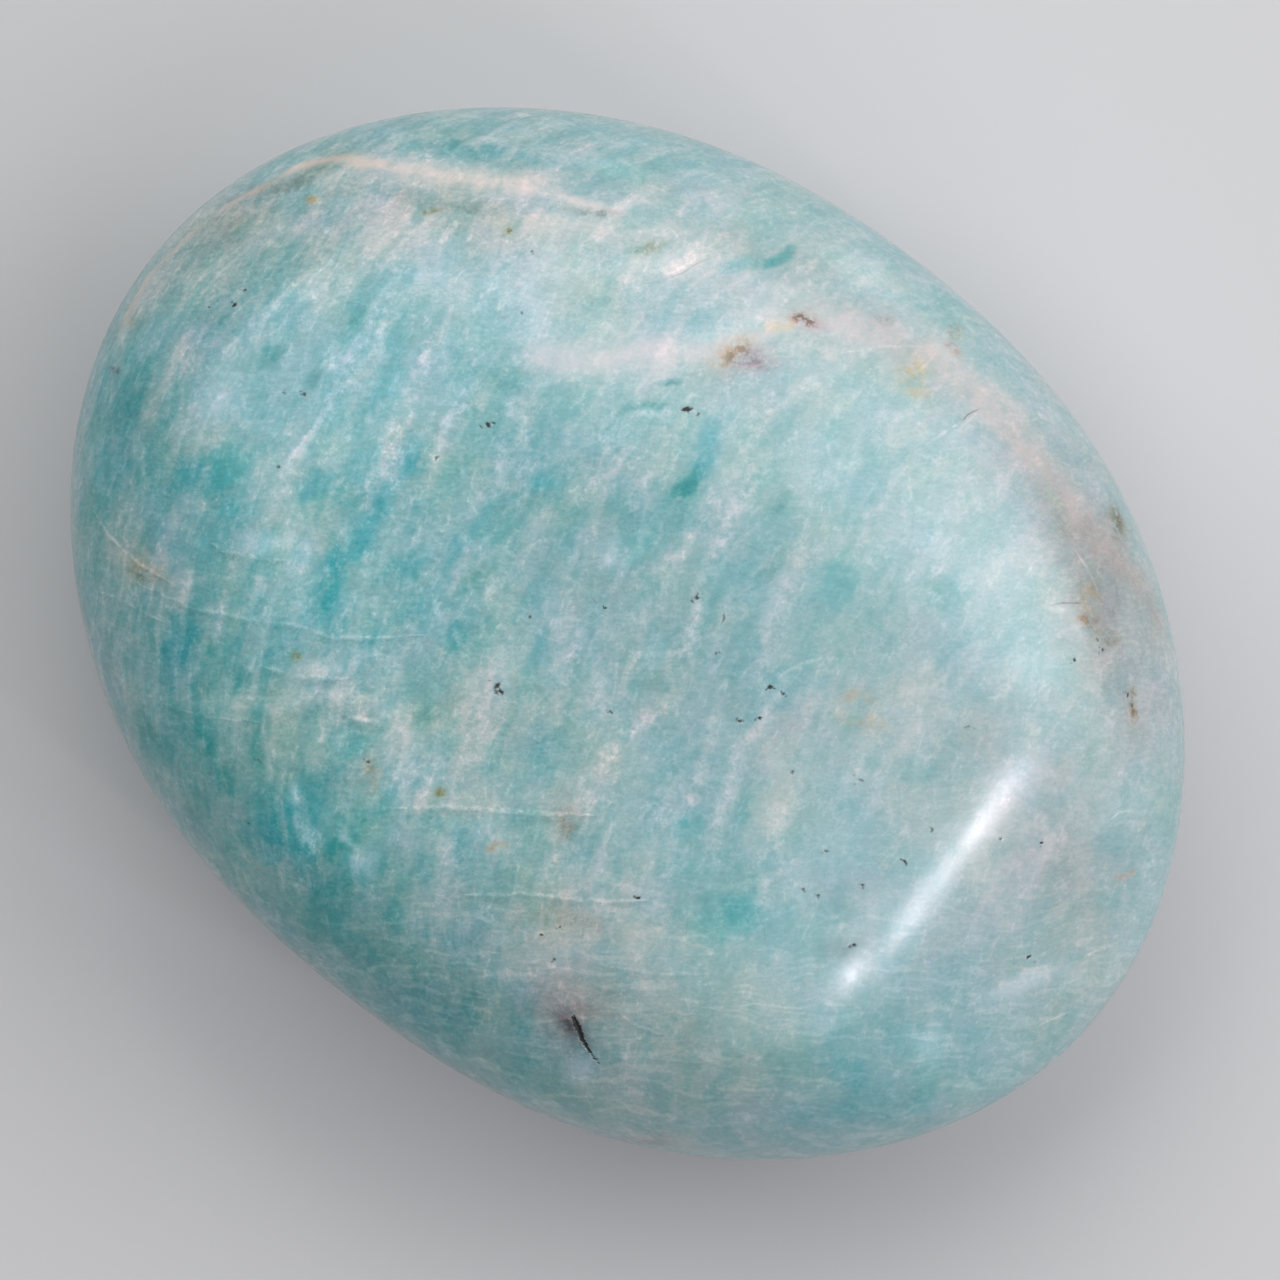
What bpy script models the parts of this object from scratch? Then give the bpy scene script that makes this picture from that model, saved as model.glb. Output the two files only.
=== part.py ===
"""Polished amazonite palm stone: one tumbled pebble that rests on a small flat spot.

Metres, +Z up. The origin is the middle of the stone's rectangle, at the height of the surface it
rests on. +X runs along its longest extent.
"""

import math

import bmesh
import bpy
import numpy as np

# Driving dimensions
LENGTH = 0.070
WIDTH = 0.0537
THICKNESS = 0.028
WAIST_HEIGHT = 0.0125  # the widest contour, above the resting surface
FOOT_DEPTH = 0.00035  # how much of the rounded underside is ground off to make the flat spot

# The outline from above is an ellipse that swells a little in some directions.
# Each swell: waves round the outline, share of the radius, direction of a crest in degrees.
OUTLINE_SWELLS = {
    "egg_end": (1, 0.0105, -69.0),
    "broad_sides": (2, 0.0050, 71.0),
    "three_soft_corners": (3, 0.0059, -33.0),
    "full_shoulders": (4, 0.0053, -40.0),
    "slight_flats": (6, 0.0028, -2.0),
}

# Roundness of the profile: 2 is an ellipse, and more gives a flatter top and a steeper flank
TOP_ROUNDNESS = 2.35
UNDERSIDE_ROUNDNESS = 2.2
STEEP_SIDE_EXTRA = 0.25
STEEP_SIDE_DIRECTION = -105.0  # degrees from +X

# Softly ground faces, each cut by a plane: direction of its slope in degrees, tilt of the plane
# in degrees, distance of the plane from the middle of the waist, and width of the soft edge
GROUND_FACES = {
    "crown": (-120.0, 3.0, 0.0148, 0.0005),
    "end_shoulder": (8.0, 15.0, 0.0173, 0.0006),
    "end_slope": (5.0, 36.0, 0.0226, 0.0008),
    "steep_flank": (-104.0, 60.0, 0.0264, 0.0005),
    "far_end": (172.0, 50.0, 0.0290, 0.0005),
}

# Gentle unevenness left by tumbling: height, wavelength and direction of each ripple
RIPPLES = {
    "long_ripple": (0.00020, 0.031, 25.0),
    "cross_ripple": (0.00018, 0.023, 118.0),
    "small_ripple": (0.00006, 0.012, 75.0),
}

UNDERSIDE_CALM = 0.2  # share of the ripples that the underside keeps

SPHERE_SUBDIVISIONS = 5
SLIVER = 0.00012  # corners closer than this along the foot's edge are joined

STONE_COLOR = (0.31, 0.47, 0.49, 1.0)
STONE_ROUGHNESS = 0.18


def outline_radius(direction):
    """Distance from the middle to the widest contour, towards each direction in radians."""
    ellipse = 1.0 / np.hypot(np.cos(direction) / (LENGTH / 2), np.sin(direction) / (WIDTH / 2))
    swell = np.ones_like(direction)
    for waves, share, crest in OUTLINE_SWELLS.values():
        swell += share * np.cos(waves * (direction - math.radians(crest)))
    return ellipse * swell


def pebble(points):
    """Move points of an ellipsoid out to the pebble's surface, along their rays from the middle."""
    direction = np.arctan2(points[:, 1], points[:, 0])
    across = np.hypot(points[:, 0], points[:, 1]) / outline_radius(direction)
    is_top = points[:, 2] > 0
    half_height = np.where(is_top, THICKNESS - WAIST_HEIGHT, WAIST_HEIGHT + FOOT_DEPTH)
    steepness = STEEP_SIDE_EXTRA * np.cos(direction - math.radians(STEEP_SIDE_DIRECTION))
    roundness = np.where(is_top, TOP_ROUNDNESS + steepness, UNDERSIDE_ROUNDNESS)
    size = (across**roundness + np.abs(points[:, 2] / half_height) ** roundness) ** (1 / roundness)
    return points / size[:, None]


def grind(points, slope_direction, tilt, distance, edge):
    """Press points beyond a plane back to it, with a rounded edge instead of a crease."""
    towards = math.radians(slope_direction)
    lean = math.radians(tilt)
    normal = np.array(
        [math.sin(lean) * math.cos(towards), math.sin(lean) * math.sin(towards), math.cos(lean)]
    )
    beyond = points @ normal - distance
    return points - np.outer(edge * np.logaddexp(0, beyond / edge), normal)


def ripple(points, height, wavelength, direction):
    """Raise and lower the top in a long soft wave that fades towards the waist."""
    towards = math.radians(direction)
    run = points[:, 0] * math.cos(towards) + points[:, 1] * math.sin(towards)
    rays = points / np.linalg.norm(points, axis=1)[:, None]
    reach = np.where(rays[:, 2] > 0, rays[:, 2], -UNDERSIDE_CALM * rays[:, 2])
    lift = height * reach * np.sin(2 * math.pi * run / wavelength)
    return points + rays * lift[:, None]


def stone_points(points):
    """The finished surface around the middle of the waist, before the flat spot is cut."""
    points = pebble(points)
    for face in GROUND_FACES.values():
        points = grind(points, *face)
    for wave in RIPPLES.values():
        points = ripple(points, *wave)
    return points


def cut_foot(bm):
    """Cut the underside off level at the resting surface and close it with one flat face."""
    geometry = bm.verts[:] + bm.edges[:] + bm.faces[:]
    cut = bmesh.ops.bisect_plane(
        bm, geom=geometry, dist=1e-7, plane_co=(0, 0, 0), plane_no=(0, 0, -1), clear_outer=True
    )
    rim = [item for item in cut["geom_cut"] if isinstance(item, bmesh.types.BMEdge)]
    bmesh.ops.edgenet_fill(bm, edges=rim)
    bmesh.ops.remove_doubles(bm, verts=[v for v in bm.verts if abs(v.co.z) < 1e-6], dist=SLIVER)
    bmesh.ops.recalc_face_normals(bm, faces=bm.faces[:])


def fit_to_size(bm):
    """Give the stone exactly its driving dimensions, with the origin under its middle."""
    points = np.array([v.co for v in bm.verts])
    low = points.min(axis=0)
    extent = points.max(axis=0) - low
    scale = np.array([LENGTH, WIDTH, THICKNESS]) / extent
    middle = np.array([LENGTH / 2, WIDTH / 2, 0])
    for vert, point in zip(bm.verts, (points - low) * scale - middle):
        vert.co = point


def stone_mesh():
    bm = bmesh.new()
    bmesh.ops.create_icosphere(bm, subdivisions=SPHERE_SUBDIVISIONS, radius=1.0)
    ball = np.array([v.co for v in bm.verts])
    ball *= (LENGTH / 2, WIDTH / 2, THICKNESS / 2)
    for vert, point in zip(bm.verts, stone_points(ball)):
        vert.co = point
        vert.co.z += WAIST_HEIGHT
    cut_foot(bm)
    fit_to_size(bm)
    mesh = bpy.data.meshes.new("amazonite_stone")
    bm.to_mesh(mesh)
    bm.free()
    mesh.shade_smooth()
    mesh.set_sharp_from_angle(angle=math.radians(30))
    return mesh


def stone_material():
    material = bpy.data.materials.new("polished_amazonite")
    material.use_nodes = True
    shader = material.node_tree.nodes["Principled BSDF"]
    shader.inputs["Base Color"].default_value = STONE_COLOR
    shader.inputs["Roughness"].default_value = STONE_ROUGHNESS
    shader.inputs["Metallic"].default_value = 0.0
    return material


def main():
    for obj in list(bpy.data.objects):
        bpy.data.objects.remove(obj, do_unlink=True)
    collection = bpy.data.collections.new("amazonite_palm_stone")
    bpy.context.scene.collection.children.link(collection)
    stone = bpy.data.objects.new("amazonite_stone", stone_mesh())
    stone.data.materials.append(stone_material())
    collection.objects.link(stone)


main()
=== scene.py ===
"""Looks of the polished amazonite palm stone: fine surface, veins, stains, pits, light and camera.

Metres, +Z up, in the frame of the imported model. Marks on the stone are placed by where they are
seen in a square picture of 1280 x 1280 pixels, taken from straight above the stone. Each place
is turned into a point on the stone's surface before it is used.
"""

import math
import random
from functools import reduce

import bmesh
import bpy
import numpy as np
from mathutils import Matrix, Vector, noise
from mathutils.bvhtree import BVHTree


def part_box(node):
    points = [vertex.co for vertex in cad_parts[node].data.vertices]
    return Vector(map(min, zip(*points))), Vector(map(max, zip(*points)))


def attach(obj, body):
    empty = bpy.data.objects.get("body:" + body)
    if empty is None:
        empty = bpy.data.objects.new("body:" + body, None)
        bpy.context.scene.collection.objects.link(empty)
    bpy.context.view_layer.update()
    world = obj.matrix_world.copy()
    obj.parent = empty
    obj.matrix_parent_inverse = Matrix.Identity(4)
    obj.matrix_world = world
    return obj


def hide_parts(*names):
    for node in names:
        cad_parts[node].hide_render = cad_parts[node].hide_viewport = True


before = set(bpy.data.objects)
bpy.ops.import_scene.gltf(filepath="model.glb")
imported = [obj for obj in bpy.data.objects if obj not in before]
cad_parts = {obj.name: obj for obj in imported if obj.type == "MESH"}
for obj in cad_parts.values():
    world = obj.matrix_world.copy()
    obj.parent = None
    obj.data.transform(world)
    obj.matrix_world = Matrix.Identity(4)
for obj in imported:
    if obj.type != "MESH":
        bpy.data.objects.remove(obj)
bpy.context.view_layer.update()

EDGE_SEED = 166  # gives the marks the same natural edges in every run
CRUMB_SEED = 7  # and the specks the same crumbs
noise.seed_set(EDGE_SEED)

# Size of the stone, from the frame
box_low, box_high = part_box("amazonite_stone")
LENGTH, WIDTH, THICKNESS = (high - low for low, high in zip(box_low, box_high))
MM = 0.001

# The pebble's shape, with the same values as the CAD solid
WAIST_HEIGHT = 0.0125
FOOT_DEPTH = 0.00035
FOOT_EDGE = 0.00008  # softness of the flat spot's rim
OUTLINE_SWELLS = {
    "egg_end": (1, 0.0105, -69.0),
    "broad_sides": (2, 0.0050, 71.0),
    "three_soft_corners": (3, 0.0059, -33.0),
    "full_shoulders": (4, 0.0053, -40.0),
    "slight_flats": (6, 0.0028, -2.0),
}
TOP_ROUNDNESS = 2.35
UNDERSIDE_ROUNDNESS = 2.2
STEEP_SIDE_EXTRA = 0.25
STEEP_SIDE_DIRECTION = -105.0
GROUND_FACES = {
    "crown": (-120.0, 3.0, 0.0148, 0.0005),
    "end_shoulder": (8.0, 15.0, 0.0173, 0.0006),
    "end_slope": (5.0, 36.0, 0.0226, 0.0008),
    "steep_flank": (-104.0, 60.0, 0.0264, 0.0005),
    "far_end": (172.0, 50.0, 0.0290, 0.0005),
}
FOOT = (0.0, 180.0, WAIST_HEIGHT, FOOT_EDGE)
RIPPLES = {
    "long_ripple": (0.00020, 0.031, 25.0),
    "cross_ripple": (0.00018, 0.023, 118.0),
    "small_ripple": (0.00006, 0.012, 75.0),
}
UNDERSIDE_CALM = 0.2

# Mesh: a sphere of even triangles, refined near the fine marks
SPHERE_SUBDIVISIONS = 7
FINE_ZONES = (0.0009, 0.0005, 0.00032)  # distance from a pit at which each refinement starts
SMALL_MARK = 12  # pixels: patches of less than this half width get finer triangles
SMALL_MARK_SHARE = 0.8  # of their length
CRACK_SPACING, LINE_SPACING, PATCH_SPACING = 4, 6, 8  # pixels between the middles of fine zones

# The picture that places the marks
PICTURE = 1280
LENGTH_IN_PICTURE = 1211
PIXEL = LENGTH / LENGTH_IN_PICTURE
STONE_MIDDLE_IN_PICTURE = (631.66, 628.05)
TURN = math.radians(38.4)  # turn of the picture's right-hand direction from +X
CAMERA_HEIGHT = 0.6  # above the waist
PICTURE_RIGHT = np.array([math.cos(TURN), math.sin(TURN), 0.0])
PICTURE_UP = np.array([-math.sin(TURN), math.cos(TURN), 0.0])

# How marks are drawn
MARK_DEPTH = 0.006  # how far down a flank a mark seen from above carries on
PATCH_EDGE = 1.2  # the higher it is, the harder a patch's edge
BAND_REACH = 4  # half widths
BAND_TIP, BAND_TAPER = 0.2, 0.15  # strength at a band's ends, and share of the band that fades
LINE_REACH = 22 * PIXEL
LINE_FADE = 0.6  # share of that reach where a crisp line starts to fade
LINE_ENDS = 0.05  # share of a crisp line that fades at each end
LINE_TIP, LINE_TAPER = 0.35, 0.25  # width at its ends, and share of the line that narrows
LINE_GUARD = (0.3 * MM, 0.9 * MM)  # a line fades where the next one is no further off than this
NO_LINE = 9.0  # half widths
SPECK_REACH = 4  # half lengths
CRACK_REACH = 10 * PIXEL
SPECK_EDGE, PIT_EDGE, CRACK_EDGE = (1.3, 0.7), (1.4, 0.2), (1.25, 0.25)  # half widths

# Natural edges: how far marks are shifted, and how many times a metre that changes
WANDER = ((0.0006, 230.0), (0.0003, 700.0))

# The stone's colour is told in three numbers: its red share (red over green), its lightness
# and its blue share (blue over green). A mark changes all three.
STONE_BASE = (0.623, 0.985, 1.033)

# Soft patches seen in the picture, each as: middle x, middle y, half length and half width in
# pixels, direction of the length in degrees, and change of red share, lightness and blue share
WIDE_WASHES = [
    (300, 560, 250, 190, -60, -0.09, 0.06, 0), (290, 850, 150, 100, -40, -0.19, 0, -0.015),
    (190, 720, 130, 80, -60, -0.11, 0, -0.03), (330, 220, 230, 60, 18, 0.12, 0, -0.035),
    (590, 240, 240, 80, -5, 0.17, 0, -0.02), (860, 330, 170, 60, -25, 0.15, 0, -0.02),
    (990, 470, 130, 120, -50, 0.14, 0.04, 0.005), (1105, 590, 180, 60, -68, 0.24, -0.24, -0.03),
    (1050, 820, 190, 130, 80, 0.16, 0, -0.02), (880, 700, 130, 60, 0, 0.07, 0, -0.005),
    (620, 950, 170, 80, -15, 0.14, 0, -0.035), (690, 1070, 130, 60, 0, 0.08, -0.03, -0.045),
    (880, 1085, 130, 50, 5, -0.08, 0, 0.01), (860, 890, 200, 130, 0, 0, 0, 0.025),
    (420, 720, 160, 60, 0, 0.13, -0.06, -0.05), (700, 372, 180, 34, -5, 0.05, 0, 0),
    (390, 345, 130, 90, 0, -0.1, 0, 0.04), (100, 440, 40, 130, 0, -0.2, -0.06, 0.01),
    (730, 960, 70, 80, 0, -0.1, -0.04, -0.02), (430, 1020, 140, 60, -30, -0.2, -0.08, 0),
    (580, 775, 60, 50, 0, 0.09, 0, -0.04), (870, 765, 120, 66, -10, 0.08, -0.03, -0.01),
]

BLUE_GREEN_POOLS = [
    (207, 474, 44, 22, 25, -0.2, -0.02, 0.03), (243, 512, 30, 13, 5, -0.13, 0, 0.02),
    (312, 491, 28, 12, 35, -0.22, -0.05, 0.07), (362, 532, 48, 16, 60, -0.21, -0.02, 0.08),
    (325, 598, 42, 27, 70, -0.19, 0, 0.04), (406, 452, 28, 14, 65, -0.26, -0.06, 0.1),
    (421, 563, 30, 14, 60, -0.12, -0.03, 0.02), (474, 640, 32, 24, 0, -0.14, -0.05, -0.015),
    (706, 450, 36, 15, 70, -0.16, -0.02, 0.06), (688, 484, 26, 9, 60, -0.24, -0.18, -0.01),
    (640, 547, 30, 8, 52, -0.1, 0.06, 0), (773, 572, 27, 9, 55, -0.13, -0.12, -0.035),
    (181, 652, 34, 24, 70, -0.15, -0.04, 0.06), (291, 824, 56, 34, 30, -0.05, 0.08, 0.03),
    (130, 392, 42, 22, 65, -0.15, -0.1, 0.02), (151, 741, 36, 16, -55, -0.2, -0.05, 0),
    (336, 932, 60, 20, -38, -0.14, -0.06, -0.01), (690, 828, 26, 16, 30, -0.17, 0, 0),
    (725, 918, 36, 24, 35, -0.24, 0, 0.01), (851, 1056, 60, 30, -62, -0.08, 0, 0.02),
    (862, 1114, 86, 24, 8, -0.08, -0.05, 0.02), (905, 770, 34, 18, 0, -0.12, -0.05, 0.01),
    (831, 585, 34, 24, 40, -0.07, 0.04, -0.01), (945, 596, 30, 16, 0, -0.1, -0.03, 0),
    (776, 259, 18, 8, 40, -0.36, -0.1, -0.02), (742, 264, 24, 9, 10, -0.22, 0, 0.03),
    (452, 147, 54, 11, -2, -0.19, -0.1, 0.01), (546, 158, 42, 11, -8, -0.1, -0.02, 0.04),
    (622, 166, 40, 13, -12, -0.02, 0.08, 0.01), (351, 325, 20, 11, 60, -0.17, -0.13, -0.02),
    (280, 357, 20, 8, 30, -0.2, -0.16, 0), (318, 380, 15, 9, 50, -0.15, -0.16, 0.01),
    (643, 410, 30, 4, 6, -0.22, -0.18, -0.01), (668, 381, 15, 4, 12, -0.34, -0.24, 0.03),
    (545, 487, 22, 8, 12, -0.1, 0.06, 0.03), (490, 377, 42, 18, 0, -0.11, -0.07, -0.03),
    (570, 436, 70, 34, 20, -0.03, 0.04, 0.01), (352, 742, 30, 20, 20, -0.1, 0.02, 0.01),
    (541, 742, 22, 32, 0, -0.18, -0.04, 0.05), (432, 711, 30, 13, 20, -0.07, -0.05, -0.02),
    (478, 582, 26, 13, 40, -0.11, -0.1, -0.02), (652, 655, 26, 14, 60, -0.03, 0.08, 0.03),
    (772, 500, 22, 10, 60, -0.07, -0.1, 0),
]

PALE_CLOUDS = [
    (217, 398, 42, 28, 55, 0.15, 0.15, 0.02), (291, 296, 64, 13, 38, 0.02, 0.11, 0.03),
    (265, 542, 28, 11, -5, 0.13, 0.24, 0.08), (321, 672, 19, 9, 0, 0.19, 0.22, 0),
    (863, 276, 38, 20, -25, 0.06, 0.15, 0.02), (612, 553, 16, 7, 45, 0.22, 0.28, 0.01),
    (577, 1068, 18, 14, 20, 0.06, 0.2, 0.11), (1031, 672, 42, 26, 0, 0.02, 0.16, 0.01),
    (930, 1045, 17, 19, 0, 0.1, 0.2, 0.01), (1034, 985, 44, 10, 10, 0.12, 0.2, 0.03),
    (361, 865, 15, 15, 0, 0.18, 0.3, 0.08), (268, 702, 110, 9, 0, 0.1, 0.13, 0),
    (702, 212, 46, 14, -5, 0.02, 0.1, 0.02), (610, 268, 90, 12, 10, 0.03, 0.09, 0),
    (1121, 800, 26, 40, 0, 0, 0.09, 0.01), (300, 560, 12, 20, 0, 0.18, 0.2, 0.05),
    # darker shades
    (746, 358, 30, 11, 20, 0.16, -0.19, 0.01), (972, 742, 34, 26, 0, 0.02, -0.12, 0),
    (1062, 868, 44, 48, 0, 0.04, -0.11, -0.01), (848, 946, 24, 12, 15, -0.1, -0.28, 0.01),
    (296, 174, 60, 9, 22, 0.09, -0.3, -0.06), (231, 230, 50, 16, 40, 0.09, -0.18, -0.07),
    (452, 204, 60, 8, -8, -0.12, -0.2, 0.01), (1092, 585, 26, 50, 10, 0.02, -0.08, -0.01),
    (505, 312, 16, 12, 0, -0.04, -0.1, 0), (845, 885, 40, 22, 0, 0.02, -0.1, 0),
]

GREYISH_PINK_PATCHES = [
    (786, 724, 34, 22, 30, 0.08, -0.04, -0.02), (880, 690, 74, 16, 4, 0.1, 0, -0.01),
    (982, 722, 44, 22, -32, 0.09, 0.06, -0.01), (776, 806, 17, 42, 0, 0.11, 0.04, -0.03),
    (580, 1003, 48, 30, 0, 0.16, -0.16, -0.05), (556, 922, 70, 32, -8, 0.11, 0, -0.04),
    (654, 1138, 30, 9, -6, 0.2, -0.1, -0.03), (172, 262, 84, 24, 52, 0.07, -0.1, -0.01),
    (146, 566, 50, 26, -35, 0.22, 0, -0.08), (402, 746, 14, 48, 0, 0.13, 0.12, 0.01),
    (462, 800, 64, 11, 0, 0.15, 0.02, -0.03), (566, 226, 70, 17, -6, 0.12, 0.06, -0.03),
    (330, 222, 80, 22, 15, 0, 0.04, -0.01), (668, 264, 54, 14, 8, 0.12, 0.1, -0.03),
    (1152, 690, 20, 60, 0, 0.04, 0, 0.01), (500, 842, 22, 13, 0, 0.12, 0.08, -0.01),
    (632, 882, 24, 11, 0, 0.1, 0.02, -0.01), (1075, 1010, 60, 20, 38, 0.03, -0.04, -0.02),
    (1060, 960, 60, 50, 0, 0.09, 0, -0.01), (566, 815, 20, 26, 70, 0.1, -0.08, -0.02),
    (700, 690, 10, 60, -20, 0.05, 0.03, 0), (112, 596, 22, 14, 0, 0.14, 0, -0.01),
]

# Stains with ragged edges: ochre, brown, olive, purple-grey
STAINS = [
    (731, 348, 22, 9, 28, 0.19, -0.3, -0.24), (801, 321, 12, 7, -12, 0.3, -0.5, -0.16),
    (780, 328, 13, 4, 0, 0.16, -0.04, -0.26), (884, 323, 12, 5, 15, 0.04, -0.18, -0.03),
    (906, 368, 16, 13, 0, 0.06, -0.14, -0.16), (912, 390, 14, 9, 0, 0.12, -0.12, -0.14),
    (957, 349, 8, 5, -30, 0.36, -0.5, -0.1), (961, 331, 6, 9, 0, 0.15, -0.36, -0.14),
    (1089, 592, 8, 15, 0, 0.17, -0.08, -0.16), (1089, 618, 10, 7, 0, 0.26, -0.28, -0.22),
    (1110, 632, 12, 7, -30, 0.1, -0.26, -0.2), (1113, 526, 9, 16, 0, 0.13, -0.32, -0.22),
    (1130, 706, 4, 18, 0, 0.22, -0.42, -0.22), (1121, 876, 8, 4, 0, 0.2, -0.14, -0.08),
    (1132, 872, 4, 4, 0, 0.26, -0.14, -0.16), (847, 694, 13, 5, 15, 0.1, -0.16, -0.13),
    (868, 698, 8, 5, 0, 0.12, -0.1, -0.11), (866, 722, 26, 9, -15, 0.13, -0.09, -0.13),
    (514, 235, 6, 3, 30, 0.24, -0.6, -0.55), (431, 210, 7, 3, 10, 0.04, -0.4, -0.3),
    (308, 197, 8, 4, 20, 0.34, -0.3, -0.34), (296, 654, 5, 6, 0, 0.42, -0.55, -0.8),
    (445, 791, 6, 4, 0, 0.14, -0.44, -0.46), (647, 247, 12, 6, 15, -0.06, -0.24, -0.14),
    (572, 924, 40, 10, -18, -0.02, -0.14, -0.02), (488, 845, 12, 4, 0, 0.28, -0.34, -0.26),
    (566, 825, 10, 22, 0, 0.08, -0.24, -0.08), (370, 778, 9, 13, 0, 0.12, -0.18, -0.12),
    (146, 574, 22, 9, -35, 0.02, -0.3, -0.1), (136, 318, 7, 14, 30, 0.12, -0.16, -0.12),
    (1062, 515, 9, 32, 18, -0.04, -0.05, -0.05), (754, 357, 26, 11, -15, 0.15, -0.28, 0.03),
    (809, 328, 14, 5, -15, 0.24, -0.24, 0.08), (1108, 600, 14, 11, 0, 0.02, -0.08, 0.02),
    (114, 367, 6, 6, 0, 0.02, -0.45, 0.03), (600, 208, 26, 4, -6, -0.02, -0.3, 0),
    (882, 320, 9, 4, -20, 0.08, -0.12, 0.02), (640, 1142, 22, 5, -6, 0.1, -0.2, 0.02),
]

# Soft bands, each as: half width in pixels, change of red share, lightness and blue share, and
# the places it runs through
CREAM_BANDS = [
    # the vein near the upper rim
    (
        6, 0.33, 0, -0.08,
        [(120, 345), (126, 317), (157, 267), (192, 232), (226, 210), (261, 187), (295, 168), (318, 163)],
    ),
    (8, 0.42, 0.06, -0.1, [(272, 178), (300, 165), (330, 161), (364, 164), (410, 169), (440, 172)]),
    (15, 0.28, 0.14, -0.05, [(376, 167), (420, 171), (458, 174), (500, 180), (560, 186)]),
    (7, 0.26, 0.12, -0.03, [(520, 182), (560, 191), (605, 207), (632, 212)]),
    (5, 0.12, 0.12, -0.02, [(622, 206), (640, 199), (662, 202)]),
    # the wide band from the middle to the right-hand rim, and its cores
    (20, 0.27, 0.01, 0, [(516, 351), (569, 356), (635, 356), (690, 349)]),
    (16, 0.25, 0.04, -0.02, [(660, 352), (700, 348), (740, 339), (780, 324), (825, 320)]),
    (26, 0.18, -0.02, -0.02, [(770, 324), (810, 324), (850, 328), (900, 342), (960, 372), (985, 396)]),
    (26, 0.15, -0.06, -0.03, [(935, 358), (975, 386), (1020, 432), (1058, 480), (1105, 548)]),
    (24, 0.14, -0.14, -0.04, [(1072, 506), (1100, 542), (1130, 575), (1150, 605), (1168, 650)]),
    (9, 0.1, 0.04, -0.06, [(1022, 430), (1035, 450), (1048, 468)]),
    (6, 0.06, 0.06, -0.06, [(1050, 478), (1058, 500)]),
    (7, 0.06, 0.08, -0.01, [(690, 334), (740, 326), (780, 322)]),
    (6, 0.06, 0.16, 0, [(1045, 606), (1070, 612), (1085, 640)]),
]

# Pale streaks where a sheet of feldspar stands out, and other pale bands
PALE_BANDS = [
    (8, 0.19, 0.1, 0.04, [(382, 296), (352, 350), (318, 412), (294, 466), (270, 522)]),
    (6, 0.28, 0.18, 0.02, [(382, 320), (346, 368), (313, 412)]),
    (8, 0.15, 0.06, 0, [(446, 316), (420, 372), (398, 420), (380, 470), (352, 520)]),
    (7, 0.1, 0.08, 0.05, [(478, 352), (452, 408), (434, 462)]),
    (8, 0.16, 0.12, 0.04, [(526, 388), (508, 440), (499, 490)]),
    (8, 0.12, 0.05, 0, [(640, 430), (617, 474), (600, 520), (578, 560)]),
    (8, 0.19, 0.1, 0, [(762, 446), (740, 498), (716, 556), (690, 622), (664, 700)]),
    (7, 0.18, 0.07, 0, [(664, 700), (630, 742), (592, 790), (566, 826)]),
    (6, 0.08, 0.02, 0, [(782, 398), (750, 446), (722, 506), (700, 560)]),
    (7, 0.15, 0.07, 0, [(700, 520), (668, 560), (640, 596)]),
    (8, 0.14, 0.07, 0, [(812, 540), (790, 590), (768, 640), (748, 700)]),
    (7, 0.12, 0.07, 0, [(800, 640), (770, 700), (738, 770), (716, 840), (700, 900)]),
    (5, 0.11, 0.06, 0, [(712, 742), (690, 800), (672, 862), (662, 900)]),
    (5, 0.1, 0.06, 0, [(780, 790), (766, 850), (758, 920)]),
    (5, 0.11, 0.06, 0, [(590, 600), (570, 660), (548, 720), (530, 770)]),
    (5, 0.11, 0.06, 0, [(520, 590), (500, 650), (486, 700), (470, 750)]),
    (7, 0.12, 0.07, 0, [(470, 700), (440, 760), (420, 820)]),
    (4, 0.28, 0.34, 0.03, [(296, 776), (306, 838), (322, 902)]),
    (4, 0.24, 0.24, 0.06, [(346, 800), (348, 850), (356, 900)]),
    (5, 0.12, 0.07, 0, [(268, 560), (250, 610), (246, 660)]),
    (4, 0.24, 0.2, 0.05, [(232, 568), (222, 610), (220, 650)]),
    (5, 0.03, 0.1, 0, [(947, 302), (968, 327), (974, 352), (1000, 389), (1018, 412)]),
    (4, 0.22, 0.24, 0.02, [(618, 420), (650, 415), (676, 414)]),
    (5, 0.12, 0.14, 0, [(96, 516), (112, 538), (140, 565), (172, 587)]),
    (9, 0.1, 0.08, 0, [(612, 292), (650, 278), (700, 250)]),
    (8, 0.05, 0.07, 0, [(640, 360), (690, 338), (740, 322), (772, 312)]),
]

# Crisp lines, each as: half width in pixels, strength, and the places it runs through
CREAM_LINES = [
    (1.6, 0.35, [(840, 353), (866, 349), (890, 346), (924, 347)]),
    (1.6, 0.3, [(938, 350), (926, 364), (912, 378)]),
    (2, 0.55, [(1074, 548), (1082, 560), (1091, 575), (1098, 592)]),
    (1.8, 0.6, [(1038, 1026), (1054, 1018), (1072, 1011)]),
    (1.8, 0.6, [(1083, 957), (1096, 951), (1112, 945)]),
    (2, 0.55, [(664, 275), (683, 268), (699, 257), (714, 252)]),
    (1.6, 0.6, [(926, 444), (944, 433), (964, 420)]),
    (1.6, 0.6, [(1108, 822), (1119, 813), (1132, 810)]),
    (2.4, 0.5, [(776, 679), (800, 665), (824, 657)]),
    (1.6, 0.45, [(1058, 986), (1080, 978)]),
    (1.8, 0.5, [(170, 340), (182, 352), (190, 368)]),
]

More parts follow.
